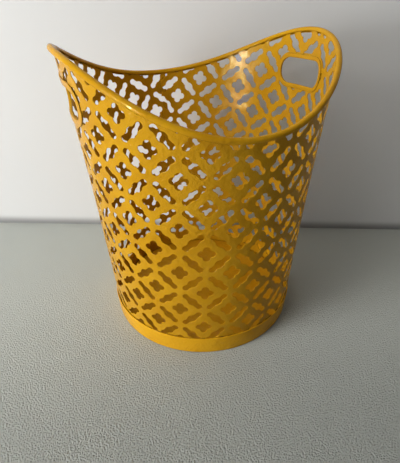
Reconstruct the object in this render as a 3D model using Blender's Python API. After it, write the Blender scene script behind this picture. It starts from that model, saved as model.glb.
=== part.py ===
"""A round tapered basket of perforated sheet steel, enamelled yellow, with a saddle-shaped rim.

One blank of perforated sheet is rolled into a cone and lapped at the back.  A split tube binds its top
edge, a channel trims each of the two hand holes, a band wraps the foot and a pan closes the bottom.
Metres, +Z up, the floor at Z = 0.  X runs through the two hand holes and -Y is the low front.
"""
import math

import bpy
import numpy as np
from mathutils import Vector
from mathutils.geometry import delaunay_2d_cdt

# The cone that the middle of the sheet follows.
FLOOR_RADIUS = 0.120
CONE_ANGLE = math.atan(0.0673)
SHEET = 0.0008
GAP = 0.0003

# The sheet opens out a little towards the rim, most of all at the hand holes.
FLARE = 0.0046
FLARE_FROM = 0.190
FLARE_TO = 0.345

# The rim: the height of its centre line is a mean plus a saddle that rises at both hand holes.
RIM_MEAN = 0.3115
RIM_SADDLE = 0.0310
RIM_FLAT = 0.0017
RIM_BACK_RISE = 0.0014
RIM_LEAN = 0.0014
TUBE_RADIUS = 0.0033
TUBE_WALL = 0.0008
TUBE_OFFSET = 0.0014
TUBE_LIP_IN = math.radians(203)
TUBE_LIP_OUT = math.radians(262)
TUBE_SIDES = 8
RIM_STATIONS = 72
SHEET_INTO_TUBE = 0.0008

# The perforation: clover holes on a square lattice turned by 45 degrees, a slot between each pair.
PITCH = 0.0563
LATTICE_X = -0.01954
LATTICE_Y = 0.1860
LATTICE_TURN = math.radians(-0.6)
CLOVER_REACH = 0.0093
CLOVER_LOBE = 0.0031
SLOT_LENGTH = 0.0280
SLOT_WIDTH = 0.0086
COLUMNS_EACH_WAY = 16
ROWS_EACH_WAY = 8
HOLE_ABOVE_PAN = 0.005
LEAST_SHOWN = 0.0020

# The lapped seam at the back, as turns from the front; the end on the right passes inside.
LEFT_END = math.radians(-182.5)
RIGHT_END = math.radians(180.7)
JOG_START = math.radians(176.2)
JOG_END = math.radians(177.2)
LAP_DEPTH = SHEET + GAP
LAP_BELOW_RIM = 0.0055
LAP_ABOVE_PAN = 0.002
FOOT_STEPS = 48
HEAD_STEPS = 72
SEAM_STEPS = 12

# The hand holes: each one's turn from the front, and how far it is tilted in the sheet.
HAND_RIGHT = (math.radians(93.6), math.radians(3.4))
HAND_LEFT = (math.radians(-90), 0.0)
HAND_WIDTH = 0.0715
HAND_HEIGHT = 0.0303
HAND_CORNER = 0.0132
HAND_BELOW_RIM = 0.0475
TRIM_WALL = 0.0008
TRIM_REACH_IN = 0.0045
TRIM_REACH_OUT = 0.0065
TRIM_HALF_DEPTH = 0.0016
TRIM_SOFT = 0.0007
TRIM_TAPER = 0.0002
HAND_SIDE_STEPS = 8
HAND_CORNER_STEPS = 3

# The foot: a band outside with a lip turned in under the sheet, and a pan standing on the lip.
BAND_HEIGHT = 0.0258
BAND_WALL = 0.0014
BAND_LIP_WALL = 0.0009
BAND_LIP = 0.0075
BAND_CORNER = 0.0018
BAND_SOFT = 0.0004
WALL_FOOT = 0.0024
PAN_WALL = 0.0009
PAN_TOP = 0.0090
PAN_FOOT = 0.0013
PAN_CLEARANCE = 0.0012
PAN_CORNER = 0.0016
RING_STATIONS = 72

ENAMEL = (0.62, 0.34, 0.02, 1.0)
GLOSS_ROUGHNESS = 0.35
SMOOTH_BELOW = math.radians(50)
WELD_DISTANCE = 2e-5

SLANT_TO_FLOOR = FLOOR_RADIUS / math.sin(CONE_ANGLE)


def clear_scene():
    for thing in list(bpy.data.objects):
        bpy.data.objects.remove(thing, do_unlink=True)


def rim_height(turn):
    """Height of the rim's centre line; a turn is counted from the low front towards +X."""
    uneven = RIM_BACK_RISE * math.cos(3 * turn) + RIM_LEAN * math.sin(turn) ** 3
    waves = RIM_FLAT * math.cos(4 * turn) - RIM_SADDLE * math.cos(2 * turn)
    return RIM_MEAN + waves - uneven


def cone_radius(height):
    return FLOOR_RADIUS + math.tan(CONE_ANGLE) * height


def flare(turn, height):
    """How far the sheet stands outside the plain cone."""
    share = max(height - FLARE_FROM, 0.0) / (FLARE_TO - FLARE_FROM)
    return FLARE * math.sin(turn) ** 2 * share ** 1.5


def flat_point(turn, height):
    """Where a point of the cone lies in the flat blank."""
    slant = SLANT_TO_FLOOR + height / math.cos(CONE_ANGLE)
    angle = turn * math.sin(CONE_ANGLE)
    return np.array((slant * math.sin(angle), slant * math.cos(angle) - SLANT_TO_FLOOR))


def surface(point, offset):
    """The place in space of a point of the flat blank, moved off the cone by the offset."""
    slant = math.hypot(point[0], point[1] + SLANT_TO_FLOOR)
    turn = math.atan2(point[0], point[1] + SLANT_TO_FLOOR) / math.sin(CONE_ANGLE)
    height = (slant - SLANT_TO_FLOOR) * math.cos(CONE_ANGLE)
    radius = slant * math.sin(CONE_ANGLE) + offset * math.cos(CONE_ANGLE) + flare(turn, height)
    lowered = height - offset * math.sin(CONE_ANGLE)
    return (radius * math.sin(turn), -radius * math.cos(turn), lowered)


def turn_of(point):
    return math.atan2(point[0], point[1] + SLANT_TO_FLOOR) / math.sin(CONE_ANGLE)


def lap_offset(turn):
    """The sheet steps inwards before its right end, so that it passes inside the left end."""
    share = min(max((turn - JOG_START) / (JOG_END - JOG_START), 0.0), 1.0)
    return -LAP_DEPTH * share


def make_object(name, points, faces):
    mesh = bpy.data.meshes.new(name)
    mesh.from_pydata([tuple(p) for p in points], [], [tuple(f) for f in faces])
    mesh.validate()
    mesh.shade_smooth()
    mesh.set_sharp_from_angle(angle=SMOOTH_BELOW)
    thing = bpy.data.objects.new(name, mesh)
    bpy.context.scene.collection.objects.link(thing)
    paint = bpy.data.materials.new(name + "_enamel")
    paint.use_nodes = True
    shader = paint.node_tree.nodes["Principled BSDF"]
    shader.inputs["Base Color"].default_value = ENAMEL
    shader.inputs["Roughness"].default_value = GLOSS_ROUGHNESS
    shader.inputs["Metallic"].default_value = 0.0
    mesh.materials.append(paint)


def swept_ring(name, sections):
    """A closed ring through the sections, each a closed loop of points in the same order."""
    sides = len(sections[0])
    count = len(sections)
    points = [p for section in sections for p in section]
    faces = []
    for i in range(count):
        for j in range(sides):
            here = i * sides + j
            beside = i * sides + (j + 1) % sides
            ahead = ((i + 1) % count) * sides + j
            ahead_beside = ((i + 1) % count) * sides + (j + 1) % sides
            faces.append((here, ahead, ahead_beside, beside))
    make_object(name, points, faces)


def clover(centre):
    """One clover hole: four lobes, each with a flat end."""
    corners = []
    for quarter in range(4):
        for side in (-CLOVER_LOBE, CLOVER_LOBE):
            angle = quarter * math.pi / 2
            x = CLOVER_REACH * math.cos(angle) - side * math.sin(angle)
            y = CLOVER_REACH * math.sin(angle) + side * math.cos(angle)
            corners.append(centre + np.array((x, y)))
    return corners


def slot(centre, slant):
    """One slot, at 45 degrees to the lattice's axes."""
    along = np.array((math.cos(slant), math.sin(slant)))
    across = np.array((-math.sin(slant), math.cos(slant)))
    half_along = along * SLOT_LENGTH / 2
    half_across = across * SLOT_WIDTH / 2
    return [
        centre - half_along - half_across,
        centre + half_along - half_across,
        centre + half_along + half_across,
        centre - half_along + half_across,
    ]


def lattice_to_flat(corner):
    """Turns the lattice by its small lean against the blank's centre line."""
    c = math.cos(LATTICE_TURN)
    s = math.sin(LATTICE_TURN)
    return np.array((corner[0] * c - corner[1] * s, corner[0] * s + corner[1] * c))


def all_holes():
    """Every hole of the lattice, as loops in the flat blank."""
    holes = []
    for column in range(-COLUMNS_EACH_WAY, COLUMNS_EACH_WAY):
        for row in range(-ROWS_EACH_WAY, ROWS_EACH_WAY):
            if (column + row) % 2:
                continue
            centre = np.array((LATTICE_X + column * PITCH / 2, LATTICE_Y + row * PITCH / 2))
            quarter = PITCH / 4
            holes.append(clover(centre))
            holes.append(slot(centre + np.array((quarter, quarter)), -math.pi / 4))
            holes.append(slot(centre + np.array((quarter, -quarter)), math.pi / 4))
    return [[lattice_to_flat(corner) for corner in hole] for hole in holes]


def shows(hole):
    """True for a hole that opens between the foot band and the rim tube."""
    lowest = BAND_HEIGHT + LEAST_SHOWN
    for corner in hole:
        turn = turn_of(corner)
        height = surface(corner, 0.0)[2]
        highest = rim_height(turn) - TUBE_RADIUS - LEAST_SHOWN
        if LEFT_END < turn < RIGHT_END and lowest < height < highest:
            return True
    return False


def above_foot(hole):
    """The hole with its corners held above the sheet's foot margin behind the band."""
    lowest = PAN_TOP + HOLE_ABOVE_PAN
    kept = []
    for corner in hole:
        turn = turn_of(corner)
        if surface(corner, 0.0)[2] < lowest:
            kept.append(flat_point(turn, lowest))
        else:
            kept.append(corner)
    return kept


def hand_outline(hand, grow):
    """The rounded oblong of a hand hole in the flat blank, grown outwards by a distance."""
    side_turn, tilt = hand
    straight = HAND_WIDTH / 2 - HAND_CORNER
    rise = HAND_HEIGHT / 2 - HAND_CORNER
    loop = []
    for quarter in range(4):
        sign_x = (1, -1, -1, 1)[quarter]
        sign_y = (1, 1, -1, -1)[quarter]
        for step in range(HAND_CORNER_STEPS + 1):
            angle = (quarter + step / HAND_CORNER_STEPS) * math.pi / 2
            x = sign_x * straight + (HAND_CORNER + grow) * math.cos(angle)
            y = sign_y * rise + (HAND_CORNER + grow) * math.sin(angle)
            loop.append((x, y))
        if quarter in (0, 2):
            for step in range(1, HAND_SIDE_STEPS):
                x = sign_x * straight * (1 - 2 * step / HAND_SIDE_STEPS)
                loop.append((x, sign_y * (HAND_HEIGHT / 2 + grow)))
    middle = flat_point(side_turn, rim_height(side_turn) - HAND_BELOW_RIM)
    swing = side_turn * math.sin(CONE_ANGLE) + tilt
    c = math.cos(-swing)
    s = math.sin(-swing)
    return [middle + np.array((x * c - y * s, x * s + y * c)) for x, y in loop]


def wall_outline():
    """The blank's own outline: foot, right end with its lap cut back, rim edge, left end."""
    outline = []
    for i in range(FOOT_STEPS + 1):
        turn = LEFT_END + (JOG_START - LEFT_END) * i / FOOT_STEPS
        outline.append(flat_point(turn, WALL_FOOT))
    lap_foot = PAN_TOP + LAP_ABOVE_PAN
    lap_head = rim_height(math.pi) - LAP_BELOW_RIM
    outline.append(flat_point(JOG_START, lap_foot))
    for i in range(SEAM_STEPS + 1):
        height = lap_foot + (lap_head - lap_foot) * i / SEAM_STEPS
        outline.append(flat_point(RIGHT_END, height))
    outline.append(flat_point(JOG_START, lap_head))
    for i in range(HEAD_STEPS + 1):
        turn = JOG_START + (LEFT_END - JOG_START) * i / HEAD_STEPS
        outline.append(flat_point(turn, rim_height(turn) + SHEET_INTO_TUBE))
    left_head = rim_height(LEFT_END)
    for i in range(1, SEAM_STEPS):
        height = left_head + (WALL_FOOT - left_head) * i / SEAM_STEPS
        outline.append(flat_point(LEFT_END, height))
    return outline


def bend_lines():
    """Straight lines down the cone near the lap, where the sheet's facets have to break."""
    margin = SHEET / 8
    lines = []
    for turn in (JOG_START, JOG_END, RIGHT_END - 2 * math.pi):
        lines.append((flat_point(turn, WALL_FOOT + margin), flat_point(turn, rim_height(turn))))
    return lines


def largest_patch(triangles):
    """The triangles joined edge to edge into the largest patch; stray slivers are dropped."""
    by_edge = {}
    for index, triangle in enumerate(triangles):
        for k in range(3):
            edge = tuple(sorted((triangle[k], triangle[(k + 1) % 3])))
            by_edge.setdefault(edge, []).append(index)
    seen = set()
    best = []
    for start in range(len(triangles)):
        if start in seen:
            continue
        patch = []
        waiting = [start]
        seen.add(start)
        while waiting:
            current = waiting.pop()
            patch.append(current)
            triangle = triangles[current]
            for k in range(3):
                edge = tuple(sorted((triangle[k], triangle[(k + 1) % 3])))
                for other in by_edge[edge]:
                    if other not in seen:
                        seen.add(other)
                        waiting.append(other)
        if len(patch) > len(best):
            best = patch
    return [triangles[i] for i in best]


def perforated_patch():
    """Triangulates the flat blank less its holes: points and triangles, counter-clockwise."""
    loops = [wall_outline()]
    loops.append(hand_outline(HAND_RIGHT, TRIM_WALL + GAP))
    loops.append(hand_outline(HAND_LEFT, TRIM_WALL + GAP))
    loops.extend(above_foot(hole) for hole in all_holes() if shows(hole))
    points = []
    faces = []
    for loop in loops:
        faces.append(list(range(len(points), len(points) + len(loop))))
        points.extend(Vector((p[0], p[1])) for p in loop)
    edges = []
    for low, high in bend_lines():
        edges.append((len(points), len(points) + 1))
        points.extend((Vector((low[0], low[1])), Vector((high[0], high[1]))))
    made = delaunay_2d_cdt(points, edges, faces, 0, WELD_DISTANCE, True)
    corners = [np.array((p[0], p[1])) for p in made[0]]
    kept = []
    for triangle, sources in zip(made[2], made[5]):
        if set(sources) == {0}:
            a, b, c = (corners[k] for k in triangle)
            turned = (b[0] - a[0]) * (c[1] - a[1]) - (b[1] - a[1]) * (c[0] - a[0])
            kept.append(tuple(triangle) if turned > 0 else tuple(reversed(triangle)))
    return corners, largest_patch(kept)


def build_wall():
    """The patch given its thickness, with a wall round every edge and hole."""
    corners, triangles = perforated_patch()
    used = sorted({k for triangle in triangles for k in triangle})
    place = {k: i for i, k in enumerate(used)}
    outside = []
    inside = []
    for k in used:
        step = lap_offset(turn_of(corners[k]))
        outside.append(surface(corners[k], step + SHEET / 2))
        inside.append(surface(corners[k], step - SHEET / 2))
    count = len(used)
    faces = []
    directed = set()
    for triangle in triangles:
        a, b, c = (place[k] for k in triangle)
        faces.append((a, b, c))
        faces.append((c + count, b + count, a + count))
        directed.update(((a, b), (b, c), (c, a)))
    for a, b in directed:
        if (b, a) not in directed:
            faces.append((b, a, a + count))
            faces.append((b, a + count, b + count))
    make_object("wall_sheet", outside + inside, faces)


def rim_frame(turn):
    """A point of the rim's centre line, and the outward and upward directions across the tube."""
    small = 1e-4
    centre = flat_point(turn, rim_height(turn))
    further = flat_point(turn + small, rim_height(turn + small))
    here = np.array(surface(centre, TUBE_OFFSET))
    ahead = np.array(surface(further, TUBE_OFFSET))
    tangent = (ahead - here) / np.linalg.norm(ahead - here)
    outward = np.array(surface(centre, 1.0)) - np.array(surface(centre, 0.0))
    upward = np.cross(outward, tangent)
    return here, outward, upward if upward[2] > 0 else -upward


def build_rim():
    """A split tube swept along the rim, its slit astride the sheet's top edge."""
    arc = 2 * math.pi - (TUBE_LIP_OUT - TUBE_LIP_IN)
    angles = [TUBE_LIP_IN - arc * i / TUBE_SIDES for i in range(TUBE_SIDES + 1)]
    stretch = 1 / math.cos(arc / TUBE_SIDES / 4)
    inner = (TUBE_RADIUS - TUBE_WALL) * stretch
    outer = TUBE_RADIUS * stretch
    plan = [(inner, angle) for angle in angles]
    plan += [(outer, angle) for angle in reversed(angles)]
    sections = []
    for i in range(RIM_STATIONS):
        here, outward, upward = rim_frame(2 * math.pi * i / RIM_STATIONS)
        section = []
        for reach, angle in plan:
            section.append(here + reach * (math.cos(angle) * outward + math.sin(angle) * upward))
        sections.append(section)
    swept_ring("rim_binding", sections)


def build_trim(name, hand):
    """A channel that runs round a hand hole with the sheet's edge between its two flanges."""
    deep = TRIM_HALF_DEPTH
    near = SHEET / 2 + GAP
    profile = [
        (TRIM_SOFT, -deep),
        (TRIM_REACH_IN, -deep + TRIM_TAPER),
        (TRIM_REACH_IN, -near),
        (TRIM_WALL, -near),
        (TRIM_WALL, near),
        (TRIM_REACH_OUT, near),
        (TRIM_REACH_OUT, deep - TRIM_TAPER),
        (TRIM_SOFT, deep),
        (0.0, deep - TRIM_SOFT),
        (0.0, -deep + TRIM_SOFT),
    ]
    rings = [hand_outline(hand, grow) for grow, _ in profile]
    sections = []
    for i in range(len(rings[0])):
        sections.append([surface(ring[i], offset) for ring, (_, offset) in zip(rings, profile)])
    swept_ring(name, sections)


def turned_sections(profile):
    """Copies of a profile of (radius, height) pairs, turned round Z."""
    sections = []
    for i in range(RING_STATIONS):
        turn = 2 * math.pi * i / RING_STATIONS
        sections.append([(r * math.cos(turn), r * math.sin(turn), z) for r, z in profile])
    return sections


def build_band():
    """The band round the foot, with its lower edge turned in under the sheet and the pan."""
    near = SHEET / 2 + GAP
    far = near + BAND_WALL
    top = BAND_HEIGHT
    profile = [
        (FLOOR_RADIUS - BAND_LIP, 0.0),
        (cone_radius(0) + far - BAND_CORNER, 0.0),
        (cone_radius(0) + far - BAND_SOFT, BAND_SOFT),
        (cone_radius(0) + far, BAND_CORNER),
        (cone_radius(top) + far, top - BAND_SOFT),
        (cone_radius(top) + far - BAND_SOFT, top),
        (cone_radius(top) + near, top),
        (cone_radius(0) + near, BAND_CORNER),
        (cone_radius(0) + near - BAND_LIP_WALL, BAND_LIP_WALL),
        (FLOOR_RADIUS - BAND_LIP, BAND_LIP_WALL),
    ]
    swept_ring("foot_band", turned_sections(profile))


def build_pan():
    """A shallow pan, open downwards: a flat bottom with its edge turned down inside the sheet."""
    outer = FLOOR_RADIUS - SHEET / 2 - PAN_CLEARANCE
    inner = outer - PAN_WALL
    under = PAN_TOP - PAN_WALL
    upper = [
        (outer, PAN_FOOT),
        (outer, PAN_TOP - PAN_CORNER),
        (outer - PAN_CORNER / 4, PAN_TOP - PAN_CORNER / 4),
        (outer - PAN_CORNER, PAN_TOP),
    ]
    lower = [
        (inner - PAN_CORNER, under),
        (inner - PAN_CORNER / 4, under - PAN_CORNER / 4),
        (inner, PAN_FOOT),
    ]
    last_upper = len(upper) - 1
    sides = len(upper) + len(lower)
    points = [point for section in turned_sections(upper + lower) for point in section]
    top_centre = len(points)
    points.append((0.0, 0.0, PAN_TOP))
    points.append((0.0, 0.0, under))
    faces = []
    for i in range(RING_STATIONS):
        here = i * sides
        ahead = ((i + 1) % RING_STATIONS) * sides
        for j in range(sides):
            k = (j + 1) % sides
            if j == last_upper:
                faces.append((here + j, ahead + j, top_centre))
                faces.append((ahead + k, here + k, top_centre + 1))
            else:
                faces.append((here + j, ahead + j, ahead + k, here + k))
    make_object("bottom_pan", points, faces)


clear_scene()
build_wall()
build_rim()
build_trim("hand_trim_right", HAND_RIGHT)
build_trim("hand_trim_left", HAND_LEFT)
build_band()
build_pan()
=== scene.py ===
import math

import bpy
import numpy as np
from mathutils import Matrix, Vector
from mathutils.geometry import delaunay_2d_cdt


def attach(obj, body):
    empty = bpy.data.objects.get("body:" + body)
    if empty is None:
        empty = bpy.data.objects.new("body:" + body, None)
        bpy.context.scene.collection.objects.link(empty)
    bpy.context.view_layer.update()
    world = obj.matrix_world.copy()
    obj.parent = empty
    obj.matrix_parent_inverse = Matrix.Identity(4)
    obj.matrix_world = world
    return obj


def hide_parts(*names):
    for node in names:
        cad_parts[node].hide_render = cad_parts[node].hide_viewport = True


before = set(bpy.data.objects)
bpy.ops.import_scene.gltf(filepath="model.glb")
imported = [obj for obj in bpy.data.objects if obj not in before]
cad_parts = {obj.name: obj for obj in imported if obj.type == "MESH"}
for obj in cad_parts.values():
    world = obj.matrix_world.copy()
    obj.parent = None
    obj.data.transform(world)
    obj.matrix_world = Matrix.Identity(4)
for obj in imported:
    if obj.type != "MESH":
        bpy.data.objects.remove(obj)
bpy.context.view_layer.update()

# All sizes are in metres. Those of the pieces are the CAD part's own, unless a comment says not.
# Turns are counted round the basket from its low front towards +X.

# The sheet is rolled into a cone, which flares a little towards the hand holes.
FLOOR_RADIUS = 0.120
CONE_ANGLE = math.atan(0.0673)
SLANT_TO_FLOOR = FLOOR_RADIUS / math.sin(CONE_ANGLE)
SHEET = 0.0008
FLARE = 0.0046
FLARE_FROM = 0.190
FLARE_TO = 0.345
FLARE_POWER = 1.5

# Pieces that touch or are welded stand this far apart.
GAP = 0.0003

# The saddle-shaped rim.
RIM_MEAN = 0.3115
RIM_SADDLE = 0.0310
RIM_FLAT = 0.0017
RIM_BACK_RISE = 0.0014
RIM_LEAN = 0.0014

# The split tube over the rim. Its radius and its inner lip are a hair off those of the CAD part,
# whose tube has flat sides.
TUBE_RADIUS = 0.00327
TUBE_WALL = 0.0008
TUBE_OFFSET = 0.0014
TUBE_LIP_IN = math.radians(199)
TUBE_LIP_OUT = math.radians(262)
TUBE_SIDES = 30
LIP_SIDES = 3
SHEET_INTO_TUBE = 0.0008

# The lattice of holes in the flat blank.
PITCH = 0.0563
LATTICE_X = -0.01954
LATTICE_Y = 0.1860
LATTICE_TURN = math.radians(-0.6)
COLUMNS_EACH_WAY = 18
LOWEST_ROW = -7
HIGHEST_ROW = 6
HOLE_ABOVE_PAN = 0.005
LEAST_BELOW_RIM = 0.001

# The holes' outlines, which the CAD part simplifies.
LOBE_CENTRE = 0.0054
LOBE_RADIUS = 0.0042
LOBE_REACH = math.radians(122)
LOBE_STEPS = 6
SLOT_LENGTH = 0.0289
SLOT_END_RADIUS = 0.0037
SLOT_END_ANGLES = (math.radians(22.5), math.radians(56), math.radians(90), math.radians(122))
SLOT_WAIST = 0.0031
SLOT_WAIST_FROM = 0.0072
SLOT_WAIST_TO = 0.0050
SLOT_BULGE = 0.0052
SLOT_SHOULDER = 0.0028
SLOT_SHOULDER_DROP = 0.0005

# The enamel rounds every cut edge of the sheet, and the normals of the cut face lean a little
# towards the sheet's faces. A sharp corner moves at most twice as far as the edges beside it.
EDGE_ROUND = 0.00028
EDGE_SOFTNESS = 0.15
LEAST_MITRE_SHARE = 0.5

# The lapped seam at the back, where the right end passes inside the left one.
LEFT_END = math.radians(-182.5)
RIGHT_END = math.radians(180.7)
JOG_START = math.radians(176.2)
JOG_END = math.radians(177.2)
LAP_DEPTH = SHEET + GAP
LAP_BELOW_RIM = 0.0055
LAP_ABOVE_PAN = 0.002

# The hand holes: each one's turn and its tilt in the blank, then the size of both.
HAND_RIGHT = (math.radians(93.6), math.radians(3.4))
HAND_LEFT = (math.radians(-90), 0.0)
HAND_WIDTH = 0.0715
HAND_HEIGHT = 0.0303
HAND_CORNER = 0.0132
HAND_BELOW_RIM = 0.0475
HAND_STRAIGHT_STEPS = 18
HAND_CORNER_STEPS = 8

# The channel that binds a hand hole. Its corners, the band's and the pan's are curved here, where
# the CAD part has them cut flat.
TRIM_WALL = 0.0008
TRIM_REACH_IN = 0.0045
TRIM_REACH_OUT = 0.0065
TRIM_HALF_DEPTH = 0.0016
TRIM_TAPER = 0.0002
TRIM_ROUND = 0.0008
TRIM_ROUND_STEPS = 4

# The band round the foot.
BAND_HEIGHT = 0.0258
BAND_WALL = 0.0014
BAND_LIP_WALL = 0.0009
BAND_LIP = 0.0075
BAND_ROUND = 0.0016
BAND_ROUND_STEPS = 5

# The foot of the sheet, and the pan that closes the bottom.
WALL_FOOT = 0.0024
PAN_WALL = 0.0009
PAN_TOP = 0.0090
PAN_FOOT = 0.0013
PAN_CLEARANCE = 0.0012
PAN_ROUND = 0.0022
PAN_HOLLOW_ROUND = 0.0014
PAN_ROUND_STEPS = 6
PAN_RINGS = (0.6, 0.25)

# How finely the pieces are cut.
OUTLINE_STEPS = 240
SEAM_STEPS = 24
FILL_TURN = math.radians(2.2)
FILL_STEP = 0.0047
FILL_FIRST = 0.7
FILL_MARGIN = 0.0012
JOG_COLUMNS = 4
JOG_FINER = 3
RIM_STATIONS = 360
RING_STATIONS = 288

# Edges bent by more than this are shaded as sharp.
SHARP_ANGLE = math.radians(60)
# A rounded corner takes up no more than this share of either side.
MOST_CUT = 0.45
# Points of the blank nearer than this are one point.
SAME_POINT = 1e-6
# The steps over which slopes are measured, and a number that keeps divisions from failing.
SMALL_MOVE = 1e-5
SMALL_TURN = 1e-3
TINY = 1e-12


# ---------------------------------------------------------------- the cone and its flat blank

def rim_height(turn):
    uneven = RIM_BACK_RISE * math.cos(3 * turn) + RIM_LEAN * math.sin(turn) ** 3
    waves = RIM_FLAT * math.cos(4 * turn) - RIM_SADDLE * math.cos(2 * turn)
    return RIM_MEAN + waves - uneven


def flare(turn, height):
    """How far the sheet stands outside the plain cone."""
    share = max(height - FLARE_FROM, 0.0) / (FLARE_TO - FLARE_FROM)
    return FLARE * math.sin(turn) ** 2 * share ** FLARE_POWER


def flat_point(turn, height):
    """Where a point of the cone lies in the flat blank."""
    slant = SLANT_TO_FLOOR + height / math.cos(CONE_ANGLE)
    angle = turn * math.sin(CONE_ANGLE)
    return np.array((slant * math.sin(angle), slant * math.cos(angle) - SLANT_TO_FLOOR))


def turn_of(point):
    return math.atan2(point[0], point[1] + SLANT_TO_FLOOR) / math.sin(CONE_ANGLE)


def surface(point, offset):
    """The place in space of a point of the flat blank, moved off the cone by the offset."""
    slant = math.hypot(point[0], point[1] + SLANT_TO_FLOOR)
    turn = turn_of(point)
    height = (slant - SLANT_TO_FLOOR) * math.cos(CONE_ANGLE)
    radius = slant * math.sin(CONE_ANGLE) + offset * math.cos(CONE_ANGLE) + flare(turn, height)
    lowered = height - offset * math.sin(CONE_ANGLE)
    return (radius * math.sin(turn), -radius * math.cos(turn), lowered)


def axes_at(point):
    """The sheet's outward normal, and the flat blank's two axes, in space at a point of the blank."""
    here = np.array(surface(point, 0.0))
    x_axis = (np.array(surface(point + np.array((SMALL_MOVE, 0.0)), 0.0)) - here) / SMALL_MOVE
    y_axis = (np.array(surface(point + np.array((0.0, SMALL_MOVE)), 0.0)) - here) / SMALL_MOVE
    normal = np.cross(x_axis, y_axis)
    return normal / np.linalg.norm(normal), x_axis, y_axis


def cone_radius(height):
    return FLOOR_RADIUS + math.tan(CONE_ANGLE) * height


def lap_offset(turn):
    """The sheet eases inwards before its right end, so that it passes inside the left end."""
    share = min(max((turn - JOG_START) / (JOG_END - JOG_START), 0.0), 1.0)
    return -LAP_DEPTH * share * share * (3 - 2 * share)


# ---------------------------------------------------------------- outlines in the flat blank

def swung(x, y, angle):
    """A flat point turned about the origin."""
    c = math.cos(angle)
    s = math.sin(angle)
    return np.array((x * c - y * s, x * s + y * c))


def clover(centre):
    """Four round lobes that meet in short cusps."""
    corners = []
    radius = LOBE_RADIUS + EDGE_ROUND
    for quarter in range(4):
        aim = quarter * math.pi / 2
        middle = centre + LOBE_CENTRE * np.array((math.cos(aim), math.sin(aim)))
        for step in range(LOBE_STEPS):
            angle = aim - LOBE_REACH + 2 * LOBE_REACH * (step + 0.5) / LOBE_STEPS
            corners.append(middle + radius * np.array((math.cos(angle), math.sin(angle))))
    return corners


def slot(centre, slant):
    """A bar with round ends, narrow waists and a round bulge at its middle."""
    end = SLOT_LENGTH / 2 - SLOT_END_RADIUS
    radius = SLOT_END_RADIUS + EDGE_ROUND
    waist = SLOT_WAIST + EDGE_ROUND
    bulge = SLOT_BULGE + EDGE_ROUND
    side = []
    for angle in SLOT_END_ANGLES:
        side.append((end + radius * math.cos(angle), radius * math.sin(angle)))
    side.append((SLOT_WAIST_FROM, waist))
    side.append((SLOT_WAIST_TO, waist))
    side.append((SLOT_SHOULDER, bulge - SLOT_SHOULDER_DROP))
    upper = side + [(0.0, bulge)] + [(-x, y) for x, y in reversed(side)]
    loop = [(end + radius, 0.0)] + upper
    loop += [(-end - radius, 0.0)] + [(-x, -y) for x, y in upper]
    return [centre + swung(x, y, slant) for x, y in loop]


def all_holes():
    """A clover at every other crossing of the lattice, and a slot on each diagonal between them."""
    holes = []
    quarter = PITCH / 4
    for column in range(-COLUMNS_EACH_WAY, COLUMNS_EACH_WAY + 1):
        for row in range(LOWEST_ROW, HIGHEST_ROW + 1):
            if (column + row) % 2:
                continue
            centre = np.array((LATTICE_X + column * PITCH / 2, LATTICE_Y + row * PITCH / 2))
            holes.append(clover(centre))
            holes.append(slot(centre + np.array((quarter, quarter)), -math.pi / 4))
            holes.append(slot(centre + np.array((quarter, -quarter)), math.pi / 4))
    return [[swung(corner[0], corner[1], LATTICE_TURN) for corner in hole] for hole in holes]


def shows(hole):
    """Whether any of the hole lies between the band, the tube and the sheet's two ends."""
    for corner in hole:
        turn = turn_of(corner)
        height = surface(corner, 0.0)[2]
        highest = rim_height(turn) - LEAST_BELOW_RIM
        if LEFT_END < turn < RIGHT_END and BAND_HEIGHT < height < highest:
            return True
    return False


def above_foot(hole):
    """The foot band hides the lowest corners, which would come too near the bottom pan."""
    lowest = PAN_TOP + HOLE_ABOVE_PAN
    return [corner for corner in hole if surface(corner, 0.0)[2] > lowest]


def hand_outline(hand, grow):
    """The rounded oblong of a hand hole in the flat blank, grown outwards by a distance."""
    side_turn, tilt = hand
    straight = HAND_WIDTH / 2 - HAND_CORNER
    rise = HAND_HEIGHT / 2 - HAND_CORNER
    loop = []
    for quarter in range(4):
        sign_x = (1, -1, -1, 1)[quarter]
        sign_y = (1, 1, -1, -1)[quarter]
        for step in range(HAND_CORNER_STEPS + 1):
            angle = (quarter + step / HAND_CORNER_STEPS) * math.pi / 2
            x = sign_x * straight + (HAND_CORNER + grow) * math.cos(angle)
            y = sign_y * rise + (HAND_CORNER + grow) * math.sin(angle)
            loop.append((x, y))
        if quarter in (0, 2):
            for step in range(1, HAND_STRAIGHT_STEPS):
                x = sign_x * straight * (1 - 2 * step / HAND_STRAIGHT_STEPS)
                loop.append((x, sign_y * (HAND_HEIGHT / 2 + grow)))
        else:
            loop.append((sign_x * (HAND_WIDTH / 2 + grow), 0.0))
    middle = flat_point(side_turn, rim_height(side_turn) - HAND_BELOW_RIM)
    swing = side_turn * math.sin(CONE_ANGLE) + tilt
    return [middle + swung(x, y, -swing) for x, y in loop]


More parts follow.
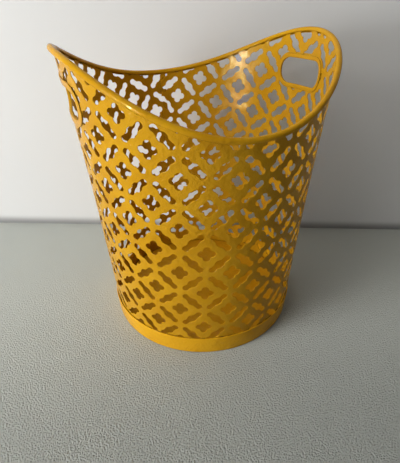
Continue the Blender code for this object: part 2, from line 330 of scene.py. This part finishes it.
def wall_outline():
    """The blank's own outline: foot, right end with its lap cut back, rim edge, left end."""
    outline = []
    flap_foot = PAN_TOP + LAP_ABOVE_PAN
    flap_head = rim_height(math.pi) - LAP_BELOW_RIM
    for i in range(OUTLINE_STEPS + 1):
        turn = LEFT_END + (JOG_START - LEFT_END) * i / OUTLINE_STEPS
        outline.append(flat_point(turn, WALL_FOOT))
    outline.append(flat_point(JOG_START, flap_foot))
    for i in range(SEAM_STEPS + 1):
        height = flap_foot + (flap_head - flap_foot) * i / SEAM_STEPS
        outline.append(flat_point(RIGHT_END, height))
    outline.append(flat_point(JOG_START, flap_head))
    for i in range(OUTLINE_STEPS + 1):
        turn = JOG_START + (LEFT_END - JOG_START) * i / OUTLINE_STEPS
        outline.append(flat_point(turn, rim_height(turn) + SHEET_INTO_TUBE))
    top = rim_height(LEFT_END)
    for i in range(1, SEAM_STEPS):
        outline.append(flat_point(LEFT_END, top + (WALL_FOOT - top) * i / SEAM_STEPS))
    return outline


# ---------------------------------------------------------------- the perforated sheet

def edges_of(triangle):
    return [tuple(sorted((triangle[k], triangle[(k + 1) % 3]))) for k in range(3)]


def largest_patch(triangles):
    """The triangles of the largest patch that hangs together, which leaves out cut-off slivers."""
    by_edge = {}
    for index, triangle in enumerate(triangles):
        for edge in edges_of(triangle):
            by_edge.setdefault(edge, []).append(index)
    seen = set()
    best = []
    for start in range(len(triangles)):
        if start in seen:
            continue
        patch = []
        waiting = [start]
        seen.add(start)
        while waiting:
            current = waiting.pop()
            patch.append(current)
            for edge in edges_of(triangles[current]):
                for other in by_edge[edge]:
                    if other not in seen:
                        seen.add(other)
                        waiting.append(other)
        if len(patch) > len(best):
            best = patch
    return [triangles[i] for i in best]


def filling_points():
    """Points spread over the blank, so that it bends evenly, and closer together down the joggle."""
    columns = []
    for i in range(int(2 * math.pi / FILL_TURN) - 1):
        columns.append((LEFT_END + FILL_TURN * (i + FILL_FIRST), FILL_STEP))
    jog_turn = (JOG_END - JOG_START) / JOG_COLUMNS
    for i in range(JOG_COLUMNS + 1):
        columns.append((JOG_START + jog_turn * i, FILL_STEP / JOG_FINER))
    points = []
    for index, (turn, step) in enumerate(columns):
        height = WALL_FOOT + FILL_MARGIN + step * (0.5 if index % 2 else 1.0)
        while height < rim_height(turn) - FILL_MARGIN:
            points.append(flat_point(turn, height))
            height += step
    return points


def perforated_patch():
    """Triangulates the flat blank less its holes."""
    loops = [wall_outline()]
    for hand in (HAND_RIGHT, HAND_LEFT):
        loops.append(hand_outline(hand, TRIM_WALL + GAP))
    loops.extend(above_foot(hole) for hole in all_holes() if shows(hole))
    points = []
    faces = []
    for loop in loops:
        faces.append(list(range(len(points), len(points) + len(loop))))
        points.extend(Vector((p[0], p[1])) for p in loop)
    points.extend(Vector((p[0], p[1])) for p in filling_points())
    made = delaunay_2d_cdt(points, [], faces, 0, SAME_POINT, True)
    placed, _, triangles, _, _, loops_of = made
    corners = np.array([(p[0], p[1]) for p in placed])
    kept = []
    # Loop 0 is the blank: a triangle that lies in it and in no hole is sheet.
    for triangle, inside in zip(triangles, loops_of):
        if set(inside) == {0}:
            a, b, c = (corners[k] for k in triangle)
            turned = (b[0] - a[0]) * (c[1] - a[1]) - (b[1] - a[1]) * (c[0] - a[0])
            kept.append(tuple(triangle) if turned > 0 else tuple(reversed(triangle)))
    return corners, largest_patch(kept)


def edge_directions(corners, boundary):
    """For each corner on the boundary, the step towards the hole that moves its edges by one."""
    outs_at = {}
    for a, b in boundary:
        along = corners[b] - corners[a]
        along = along / np.linalg.norm(along)
        out = np.array((along[1], -along[0]))
        for k in (a, b):
            outs_at.setdefault(k, []).append(out)
    found = {}
    for k, outs in outs_at.items():
        mean = sum(outs) / len(outs)
        mitre = max(np.linalg.norm(mean), LEAST_MITRE_SHARE)
        found[k] = mean / (mitre * np.linalg.norm(mean) + TINY)
    return found


def build_wall():
    """The sheet with every cut edge rounded over by the enamel."""
    corners, triangles = perforated_patch()
    used = sorted({k for triangle in triangles for k in triangle})
    place = {k: i for i, k in enumerate(used)}
    directed = set()
    for a, b, c in triangles:
        directed.update(((a, b), (b, c), (c, a)))
    boundary = [(a, b) for a, b in directed if (b, a) not in directed]
    half = SHEET / 2
    tilt = math.sqrt(0.5)
    # The levels of a cut edge between the sheet's two faces: how far towards the hole, how far
    # off the middle of the sheet, and the shares of the sheet's normal and of that way.
    levels = [
        (EDGE_ROUND * tilt, half - EDGE_ROUND * (1 - tilt), tilt, tilt),
        (EDGE_ROUND, half - EDGE_ROUND, EDGE_SOFTNESS, 1.0),
        (EDGE_ROUND, EDGE_ROUND - half, -EDGE_SOFTNESS, 1.0),
        (EDGE_ROUND * tilt, EDGE_ROUND * (1 - tilt) - half, -tilt, tilt),
    ]
    count = len(used)
    points = []
    normals = []
    for side in (1.0, -1.0):
        for k in used:
            offset = lap_offset(turn_of(corners[k])) + side * half
            points.append(surface(corners[k], offset))
            normals.append(side * axes_at(corners[k])[0])
    rows = {}
    for k, way in edge_directions(corners, boundary).items():
        normal, x_axis, y_axis = axes_at(corners[k])
        unit = way / (np.linalg.norm(way) + TINY)
        towards = x_axis * unit[0] + y_axis * unit[1]
        row = [place[k]]
        for shift, offset, normal_share, way_share in levels:
            moved = corners[k] + way * shift
            row.append(len(points))
            points.append(surface(moved, lap_offset(turn_of(corners[k])) + offset))
            normals.append(normal * normal_share + towards * way_share)
        row.append(place[k] + count)
        rows[k] = row
    faces = []
    for a, b, c in triangles:
        faces.append((place[a], place[b], place[c]))
        faces.append((place[c] + count, place[b] + count, place[a] + count))
    for a, b in boundary:
        for level in range(len(levels) + 1):
            faces.append((rows[b][level], rows[a][level], rows[a][level + 1], rows[b][level + 1]))
    mesh = bpy.data.meshes.new("wall_sheet_enamelled")
    mesh.from_pydata(points, [], faces)
    mesh.shade_smooth()
    mesh.normals_split_custom_set_from_vertices([Vector(n).normalized() for n in normals])
    return add_piece(mesh, "wall_sheet")


# ---------------------------------------------------------------- swept and turned pieces

def add_piece(mesh, node):
    piece = bpy.data.objects.new(node + "_look", mesh)
    bpy.context.scene.collection.objects.link(piece)
    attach(piece, "root")
    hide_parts(node)
    return piece


def smooth_piece(node, points, faces):
    mesh = bpy.data.meshes.new(node + "_enamelled")
    mesh.from_pydata(points, [], faces)
    mesh.shade_smooth()
    mesh.set_sharp_from_angle(angle=SHARP_ANGLE)
    return add_piece(mesh, node)


def swept_ring(node, sections):
    """A closed ring through the sections, each a closed loop of points in the same order."""
    sides = len(sections[0])
    count = len(sections)
    points = [tuple(p) for section in sections for p in section]
    faces = []
    for i in range(count):
        for j in range(sides):
            beside = (j + 1) % sides
            ahead = ((i + 1) % count) * sides
            faces.append((i * sides + j, ahead + j, ahead + beside, i * sides + beside))
    return smooth_piece(node, points, faces)


def turned_sections(profile):
    """A profile of radius and height at each station round the basket's axis."""
    sections = []
    for i in range(RING_STATIONS):
        turn = 2 * math.pi * i / RING_STATIONS
        sections.append([(r * math.cos(turn), r * math.sin(turn), z) for r, z in profile])
    return sections


def bent_corner(before, corner, after, radius, steps):
    """The short curve that takes the place of one corner of a profile."""
    here = np.array(corner)
    back = np.array(before) - here
    on = np.array(after) - here
    size_back = np.linalg.norm(back)
    size_on = np.linalg.norm(on)
    cut = min(radius, MOST_CUT * size_back, MOST_CUT * size_on)
    start = here + back / size_back * cut
    end = here + on / size_on * cut
    curve = []
    for step in range(steps + 1):
        share = step / steps
        bend = (1 - share) ** 2 * start + 2 * share * (1 - share) * here + share ** 2 * end
        curve.append((bend[0], bend[1]))
    return curve


def rounded(profile, radius, steps):
    """A closed profile with each corner replaced by a short curve."""
    loop = []
    for i, corner in enumerate(profile):
        after = profile[(i + 1) % len(profile)]
        loop.extend(bent_corner(profile[i - 1], corner, after, radius, steps))
    return loop


def tube_lip(angle, way):
    """The round edge on one side of the tube's slit; way is -1 going outwards and 1 going in."""
    lip = []
    for step in range(1, LIP_SIDES):
        swing = math.pi * (step / LIP_SIDES)
        reach = TUBE_RADIUS - TUBE_WALL / 2 + (TUBE_WALL / 2) * math.cos(swing) * way
        lip.append((reach, angle + way * TUBE_WALL / 2 * math.sin(swing) / TUBE_RADIUS))
    return lip


def tube_profile():
    """The split tube's cross-section, as distances from its axis and angles round it."""
    arc = 2 * math.pi - (TUBE_LIP_OUT - TUBE_LIP_IN)
    angles = [TUBE_LIP_IN - arc * i / TUBE_SIDES for i in range(TUBE_SIDES + 1)]
    inside = [(TUBE_RADIUS - TUBE_WALL, angle) for angle in angles]
    outside = [(TUBE_RADIUS, angle) for angle in reversed(angles)]
    return inside + tube_lip(angles[-1], -1.0) + outside + tube_lip(angles[0], 1.0)


def tube_axis(turn):
    return np.array(surface(flat_point(turn, rim_height(turn)), TUBE_OFFSET))


def build_rim():
    """The split tube that binds the sheet's top edge."""
    profile = tube_profile()
    sections = []
    for i in range(RIM_STATIONS):
        turn = 2 * math.pi * i / RIM_STATIONS
        here = tube_axis(turn)
        along = tube_axis(turn + SMALL_TURN) - tube_axis(turn - SMALL_TURN)
        tangent = along / np.linalg.norm(along)
        outward = axes_at(flat_point(turn, rim_height(turn)))[0]
        upward = np.cross(tangent, outward)
        upward = upward if upward[2] > 0 else -upward
        section = []
        for reach, angle in profile:
            section.append(here + reach * (math.cos(angle) * outward + math.sin(angle) * upward))
        sections.append(section)
    return swept_ring("rim_binding", sections)


def build_trim(node, hand):
    """The channel round a hand hole: growth from the hole's outline, and height off the sheet."""
    deep = TRIM_HALF_DEPTH
    near = SHEET / 2 + GAP
    profile = [
        (0.0, -deep),
        (TRIM_REACH_IN, -deep + TRIM_TAPER),
        (TRIM_REACH_IN, -near),
        (TRIM_WALL, -near),
        (TRIM_WALL, near),
        (TRIM_REACH_OUT, near),
        (TRIM_REACH_OUT, deep - TRIM_TAPER),
        (0.0, deep),
    ]
    profile = rounded(profile, TRIM_ROUND, TRIM_ROUND_STEPS)
    rings = [hand_outline(hand, grow) for grow, _ in profile]
    sections = []
    for i in range(len(rings[0])):
        sections.append([surface(ring[i], offset) for ring, (_, offset) in zip(rings, profile)])
    return swept_ring(node, sections)


def build_band():
    """The band round the foot, with its lower edge turned in under the basket."""
    near = SHEET / 2 + GAP
    far = near + BAND_WALL
    top = BAND_HEIGHT
    profile = [
        (FLOOR_RADIUS - BAND_LIP, 0.0),
        (cone_radius(0) + far, 0.0),
        (cone_radius(top) + far, top),
        (cone_radius(top) + near, top),
        (cone_radius(0) + near, BAND_LIP_WALL),
        (FLOOR_RADIUS - BAND_LIP, BAND_LIP_WALL),
    ]
    return swept_ring("foot_band", turned_sections(rounded(profile, BAND_ROUND, BAND_ROUND_STEPS)))


def build_pan():
    """A shallow pan, open downwards: a flat bottom with its edge turned down inside the sheet."""
    outer = FLOOR_RADIUS - SHEET / 2 - PAN_CLEARANCE
    inner = outer - PAN_WALL
    top = PAN_TOP
    low = PAN_TOP - PAN_WALL
    shoulder = bent_corner((outer, PAN_FOOT), (outer, top), (0.0, top), PAN_ROUND, PAN_ROUND_STEPS)
    hollow = bent_corner((inner, PAN_FOOT), (inner, low), (0.0, low), PAN_HOLLOW_ROUND, PAN_ROUND_STEPS)
    upper = [(outer, PAN_FOOT)] + shoulder + [(outer * share, top) for share in PAN_RINGS]
    lower = [(outer * share, low) for share in reversed(PAN_RINGS)] + hollow[::-1] + [(inner, PAN_FOOT)]
    ring = upper + lower
    sides = len(ring)
    last_upper = len(upper) - 1
    points = [point for section in turned_sections(ring) for point in section]
    top_centre = len(points)
    low_centre = top_centre + 1
    points.extend(((0.0, 0.0, top), (0.0, 0.0, low)))
    faces = []
    for i in range(RING_STATIONS):
        here = i * sides
        ahead = ((i + 1) % RING_STATIONS) * sides
        for j in range(sides):
            k = (j + 1) % sides
            if j == last_upper:
                faces.append((here + j, ahead + j, top_centre))
                faces.append((ahead + k, here + k, low_centre))
            else:
                faces.append((here + j, ahead + j, ahead + k, here + k))
    return smooth_piece("bottom_pan", points, faces)


# ---------------------------------------------------------------- enamel

ENAMEL = (0.590, 0.308, 0.010)
ENAMEL_DEEP = (0.465, 0.212, 0.004)
PRIMER = (0.20, 0.13, 0.055)
# Painted shade: the colour that the enamel darkens towards in its nooks.
NOOK_SHADE_COLOUR = (0.045, 0.022, 0.008)
# Painted light: the band has a lit copy of the same enamel, this much brighter than the rest.
BAND_LIT_BRIGHTER = 1.25

# Nearly all of the gloss comes from a thin clear coat.
ENAMEL_SPECULAR = 0.03
COAT_WEIGHT = 0.20
COAT_ROUGHNESS = 0.05

# How fine each pattern in the enamel is, as a noise scale.
MOTTLING = 22.0
SHEEN_PATCHES = 60.0
WAVES = 190.0
NOOK_SHADE_PATCHES = 330.0
ORANGE_PEEL = 650.0
SPECKS = 900.0

PEEL_STRENGTH = 0.22
PEEL_DEPTH = 0.00035
WAVE_STRENGTH = 0.80
WAVE_DEPTH = 0.0014

# Painted shade darkens the enamel where another surface stands this near.
NOOK_REACH = 0.0022
NOOK_SAMPLES = 6


def enamel(name, bright=1.0):
    """Semi-gloss yellow enamel: orange peel, faint mottling, worn specks, and painted shade in its
    nooks.
    """
    paint = bpy.data.materials.new(name)
    paint.use_nodes = True
    nodes = paint.node_tree.nodes
    links = paint.node_tree.links
    shader = nodes["Principled BSDF"]
    shader.inputs["Metallic"].default_value = 0.0
    shader.inputs["IOR"].default_value = 1.5
    shader.inputs["Specular IOR Level"].default_value = ENAMEL_SPECULAR
    shader.inputs["Coat Weight"].default_value = COAT_WEIGHT
    shader.inputs["Coat Roughness"].default_value = COAT_ROUGHNESS
    place = nodes.new("ShaderNodeTexCoord")

    def noise(scale, detail, roughness):
        made = nodes.new("ShaderNodeTexNoise")
        made.inputs["Scale"].default_value = scale
        made.inputs["Detail"].default_value = detail
        made.inputs["Roughness"].default_value = roughness
        links.new(place.outputs["Object"], made.inputs["Vector"])
        return made.outputs["Fac"]

    def spread(source, between, gives):
        """Stretches the part of the source that lies between two values over two others."""
        made = nodes.new("ShaderNodeMapRange")
        made.inputs["From Min"].default_value = between[0]
        made.inputs["From Max"].default_value = between[1]
        made.inputs["To Min"].default_value = gives[0]
        made.inputs["To Max"].default_value = gives[1]
        links.new(source, made.inputs["Value"])
        return made.outputs["Result"]

    def mix(share, first, second):
        """Mixes a colour or a socket with another by the share of the second."""
        made = nodes.new("ShaderNodeMix")
        made.data_type = "RGBA"
        links.new(share, made.inputs["Factor"])
        for socket, colour in (("A", first), ("B", second)):
            slots = [s for s in made.inputs if s.name == socket and s.type == "RGBA"]
            if isinstance(colour, tuple):
                slots[0].default_value = (*colour, 1.0)
            else:
                links.new(colour, slots[0])
        return [s for s in made.outputs if s.type == "RGBA"][0]

    def bump(height, strength, depth):
        made = nodes.new("ShaderNodeBump")
        made.inputs["Strength"].default_value = strength
        made.inputs["Distance"].default_value = depth
        links.new(height, made.inputs["Height"])
        return made

    full = tuple(bright * part for part in ENAMEL)
    deep = tuple(bright * part for part in ENAMEL_DEEP)
    mottling = spread(noise(MOTTLING, 4.0, 0.5), between=(0.35, 0.65), gives=(0.0, 0.55))
    colour = mix(mottling, full, deep)
    specks = spread(noise(SPECKS, 2.0, 0.6), between=(0.70, 0.76), gives=(0.0, 0.25))
    colour = mix(specks, colour, PRIMER)

    # Painted shade: where ambient occlusion finds another surface near, the enamel is darkened, in
    # patches set by noise.
    nook = nodes.new("ShaderNodeAmbientOcclusion")
    nook.samples = NOOK_SAMPLES
    nook.inputs["Distance"].default_value = NOOK_REACH
    depth = spread(nook.outputs["AO"], between=(0.48, 0.85), gives=(1.0, 0.0))
    patches = spread(noise(NOOK_SHADE_PATCHES, 2.0, 0.6), between=(0.38, 0.58), gives=(0.15, 0.9))
    nook_shade = nodes.new("ShaderNodeMath")
    nook_shade.operation = "MULTIPLY"
    links.new(depth, nook_shade.inputs[0])
    links.new(patches, nook_shade.inputs[1])
    colour = mix(nook_shade.outputs["Value"], colour, NOOK_SHADE_COLOUR)
    links.new(colour, shader.inputs["Base Color"])

    sheen = spread(noise(SHEEN_PATCHES, 5.0, 0.6), between=(0.3, 0.7), gives=(0.13, 0.24))
    links.new(sheen, shader.inputs["Roughness"])
    fine = bump(noise(ORANGE_PEEL, 2.0, 0.5), PEEL_STRENGTH, PEEL_DEPTH)
    broad = bump(noise(WAVES, 3.0, 0.55), WAVE_STRENGTH, WAVE_DEPTH)
    links.new(fine.outputs["Normal"], broad.inputs["Normal"])
    links.new(broad.outputs["Normal"], shader.inputs["Normal"])
    links.new(broad.outputs["Normal"], shader.inputs["Coat Normal"])
    return paint


# ---------------------------------------------------------------- camera

CAMERA_TURN = math.radians(-22.5)
CAMERA_HEIGHT_ANGLE = math.radians(40.86)
CAMERA_DISTANCE = 0.6277
CAMERA_AIM_UP = math.radians(7.82)
CAMERA_AIM_SIDE = math.radians(0.19)
CAMERA_ROLL = math.radians(-0.83)
LENS_MM = 32.18
SENSOR_MM = 36.0
CAMERA_NEAREST = 0.01


def toward(turn, elevation):
    """A unit vector from the basket towards a turn and a height angle."""
    flat = math.cos(elevation)
    return Vector((flat * math.sin(turn), -flat * math.cos(turn), math.sin(elevation)))


def build_camera():
    """A camera that looks down at the basket's foot, then aims up, across and rolls a little."""
    camera = bpy.data.objects.new("camera", bpy.data.cameras.new("camera"))
    camera.data.sensor_width = SENSOR_MM
    camera.data.lens = LENS_MM
    camera.data.clip_start = CAMERA_NEAREST
    bpy.context.scene.collection.objects.link(camera)
    direction = toward(CAMERA_TURN, CAMERA_HEIGHT_ANGLE)
    right = Vector((math.cos(CAMERA_TURN), math.sin(CAMERA_TURN), 0.0))
    up = direction.cross(right)
    aim = Matrix((right, up, direction)).transposed()
    tweak = (
        Matrix.Rotation(CAMERA_AIM_SIDE, 3, "Y")
        @ Matrix.Rotation(CAMERA_AIM_UP, 3, "X")
        @ Matrix.Rotation(CAMERA_ROLL, 3, "Z")
    )
    camera.matrix_world = Matrix.Translation(direction * CAMERA_DISTANCE) @ (aim @ tweak).to_4x4()
    bpy.context.scene.camera = camera


# ---------------------------------------------------------------- floor and wall

FLOOR_COLOUR = (0.456, 0.478, 0.446)
FLOOR_ROUGHNESS = 0.6
GRAIN = 520.0
GRAIN_DETAIL = 2.0
GRAIN_DEPTH = 0.0066
# Going away from the camera, the grain is full until this far past the basket's axis, then fades,
# and is faint from the second distance on.
GRAIN_FULL_TO = -0.30
GRAIN_FAINT_FROM = 0.12
GRAIN_FAINT = 0.06

WALL_COLOUR = (0.685, 0.69, 0.68)
WALL_ROUGHNESS = 0.8
# Painted shade: at the floor the wall has this share of its colour, and at this height all of it.
WALL_SHADE = 0.40
WALL_SHADE_HEIGHT = 0.021
WALL_BEHIND = 0.175
WALL_TURN = CAMERA_TURN + math.radians(-3.5)
STAGE_REACH = 3.0


def stage_material(name, colour, roughness):
    """A matt material with no gloss at all."""
    made = bpy.data.materials.new(name)
    made.use_nodes = True
    shader = made.node_tree.nodes["Principled BSDF"]
    shader.inputs["Base Color"].default_value = (*colour, 1.0)
    shader.inputs["Roughness"].default_value = roughness
    shader.inputs["Specular IOR Level"].default_value = 0.0
    return made


def grained_floor():
    """A grey sheet material with a leather grain pressed into it."""
    made = stage_material("floor", FLOOR_COLOUR, FLOOR_ROUGHNESS)
    nodes = made.node_tree.nodes
    links = made.node_tree.links
    place = nodes.new("ShaderNodeTexCoord")
    texture = nodes.new("ShaderNodeTexNoise")
    texture.inputs["Scale"].default_value = GRAIN
    texture.inputs["Detail"].default_value = GRAIN_DETAIL
    along = nodes.new("ShaderNodeVectorMath")
    along.operation = "DOT_PRODUCT"
    along.inputs[1].default_value = (-math.sin(CAMERA_TURN), math.cos(CAMERA_TURN), 0.0)
    depth = nodes.new("ShaderNodeMapRange")
    depth.interpolation_type = "SMOOTHSTEP"
    depth.inputs["From Min"].default_value = GRAIN_FULL_TO
    depth.inputs["From Max"].default_value = GRAIN_FAINT_FROM
    depth.inputs["To Min"].default_value = 1.0
    depth.inputs["To Max"].default_value = GRAIN_FAINT
    bump = nodes.new("ShaderNodeBump")
    bump.inputs["Distance"].default_value = GRAIN_DEPTH
    links.new(place.outputs["Object"], along.inputs[0])
    links.new(along.outputs["Value"], depth.inputs["Value"])
    links.new(depth.outputs["Result"], bump.inputs["Strength"])
    links.new(place.outputs["Object"], texture.inputs["Vector"])
    links.new(texture.outputs["Fac"], bump.inputs["Height"])
    links.new(bump.outputs["Normal"], nodes["Principled BSDF"].inputs["Normal"])
    return made


def pale_wall():
    """Matt white, with painted shade softly darkening it just above the floor, and open to light and
    view from behind.
    """
    made = stage_material("wall", WALL_COLOUR, WALL_ROUGHNESS)
    nodes = made.node_tree.nodes
    links = made.node_tree.links
    place = nodes.new("ShaderNodeTexCoord")
    apart = nodes.new("ShaderNodeSeparateXYZ")
    # Painted shade: the wall's colour darkens towards the floor.
    rise = nodes.new("ShaderNodeMapRange")
    rise.interpolation_type = "SMOOTHERSTEP"
    rise.inputs["From Max"].default_value = WALL_SHADE_HEIGHT
    rise.inputs["To Min"].default_value = WALL_SHADE
    shade = nodes.new("ShaderNodeVectorMath")
    shade.operation = "SCALE"
    shade.inputs["Vector"].default_value = WALL_COLOUR
    links.new(place.outputs["Object"], apart.inputs["Vector"])
    links.new(apart.outputs["Z"], rise.inputs["Value"])
    links.new(rise.outputs["Result"], shade.inputs["Scale"])
    links.new(shade.outputs["Vector"], nodes["Principled BSDF"].inputs["Base Color"])
    side = nodes.new("ShaderNodeNewGeometry")
    clear = nodes.new("ShaderNodeBsdfTransparent")
    either = nodes.new("ShaderNodeMixShader")
    links.new(side.outputs["Backfacing"], either.inputs[0])
    links.new(nodes["Principled BSDF"].outputs["BSDF"], either.inputs[1])
    links.new(clear.outputs["BSDF"], either.inputs[2])
    links.new(either.outputs["Shader"], nodes["Material Output"].inputs["Surface"])
    return made


def flat_sheet(name, corners, material):
    mesh = bpy.data.meshes.new(name)
    mesh.from_pydata(corners, [], [(0, 1, 2, 3)])
    mesh.materials.append(material)
    made = bpy.data.objects.new(name, mesh)
    bpy.context.scene.collection.objects.link(made)


def build_stage():
    """A grey floor and the pale wall that stands a little way behind the basket."""
    floor = grained_floor()
    wall = pale_wall()
    across = Vector((math.cos(WALL_TURN), math.sin(WALL_TURN), 0.0))
    away = Vector((-math.sin(WALL_TURN), math.cos(WALL_TURN), 0.0))
    left = away * WALL_BEHIND - across * STAGE_REACH
    right = away * WALL_BEHIND + across * STAGE_REACH
    near = away * -STAGE_REACH
    far = away * STAGE_REACH
    up = Vector((0.0, 0.0, STAGE_REACH))
    flat_sheet("floor", [near + left, near + right, far + right, far + left], floor)
    flat_sheet("wall", [left, right, right + up, left + up], wall)


# ---------------------------------------------------------------- light

LAMP_DISTANCE = 1.6
LAMP_TARGET = Vector((0.0, 0.0, 0.15))
SOFT_SIZE = 0.7
GLINT_SIZE = 0.13
DAYLIGHT = (1.0, 0.995, 1.0)
CEILING_LIGHT = (1.0, 0.98, 0.95)
ROOM_LIGHT = (1.0, 0.92, 0.80)
GLINT_LIGHT = (1.0, 0.95, 0.48)
WORLD_COLOUR = (1.0, 0.93, 0.85, 1.0)
WORLD_STRENGTH = 0.022
BACKDROP_COLOUR = (0.50, 0.50, 0.49, 1.0)

# Name, turn from the camera, height angle, diameter, watts and colour. The glint is what the
# gloss mirrors; it lights nothing else, and the soft lamps are not mirrored.
LAMPS = (
    ("window_near", math.radians(-42), math.radians(8), SOFT_SIZE, 3.8, DAYLIGHT),
    ("window_low", math.radians(-58), math.radians(9), SOFT_SIZE, 15.6, DAYLIGHT),
    ("window_high", math.radians(-58), math.radians(32), SOFT_SIZE, 7.8, DAYLIGHT),
    ("ceiling", math.radians(-45), math.radians(60), SOFT_SIZE, 5.9, CEILING_LIGHT),
    ("room", math.radians(86), math.radians(32), SOFT_SIZE, 1.75, ROOM_LIGHT),
    ("glint", math.radians(-42), math.radians(6), GLINT_SIZE, 112.0, GLINT_LIGHT),
)


def area_light(name, turn, elevation, size, power, colour):
    """A round lamp that faces the basket and that the camera doesn't see."""
    lamp = bpy.data.lights.new(name, "AREA")
    lamp.shape = "DISK"
    lamp.size = size
    lamp.energy = power
    lamp.color = colour
    made = bpy.data.objects.new(name, lamp)
    direction = toward(CAMERA_TURN + turn, elevation)
    made.location = direction * LAMP_DISTANCE + LAMP_TARGET
    made.rotation_mode = "QUATERNION"
    made.rotation_quaternion = direction.to_track_quat("Z", "Y")
    made.visible_glossy = name == "glint"
    made.visible_diffuse = name != "glint"
    made.visible_camera = False
    bpy.context.scene.collection.objects.link(made)


def build_light():
    """A window to the left, a weak ceiling and room, and a pale backdrop past the stage."""
    for lamp in LAMPS:
        area_light(*lamp)
    world = bpy.data.worlds.new("studio")
    world.use_nodes = True
    nodes = world.node_tree.nodes
    links = world.node_tree.links
    nodes["Background"].inputs["Color"].default_value = WORLD_COLOUR
    nodes["Background"].inputs["Strength"].default_value = WORLD_STRENGTH
    pale = nodes.new("ShaderNodeBackground")
    pale.inputs["Color"].default_value = BACKDROP_COLOUR
    path = nodes.new("ShaderNodeLightPath")
    seen = nodes.new("ShaderNodeMixShader")
    links.new(path.outputs["Is Camera Ray"], seen.inputs[0])
    links.new(nodes["Background"].outputs["Background"], seen.inputs[1])
    links.new(pale.outputs["Background"], seen.inputs[2])
    links.new(seen.outputs["Shader"], nodes["World Output"].inputs["Surface"])
    bpy.context.scene.world = world
    bpy.context.scene.view_settings.view_transform = "Standard"


# ---------------------------------------------------------------- assembly

paint = enamel("yellow_enamel")
# Painted light: a brighter copy of the same enamel for the foot band.
band_lit_paint = enamel("band_lit_enamel", bright=BAND_LIT_BRIGHTER)
pieces = [
    (build_wall(), "enamel_sheet", paint),
    (build_rim(), "enamel_rim", paint),
    (build_trim("hand_trim_right", HAND_RIGHT), "enamel_trim", paint),
    (build_trim("hand_trim_left", HAND_LEFT), "enamel_trim", paint),
    (build_band(), "enamel_foot", band_lit_paint),
    (build_pan(), "enamel_pan", paint),
]
for piece, slot_name, finish in pieces:
    piece.data.materials.append(finish)

build_camera()
build_stage()
build_light()
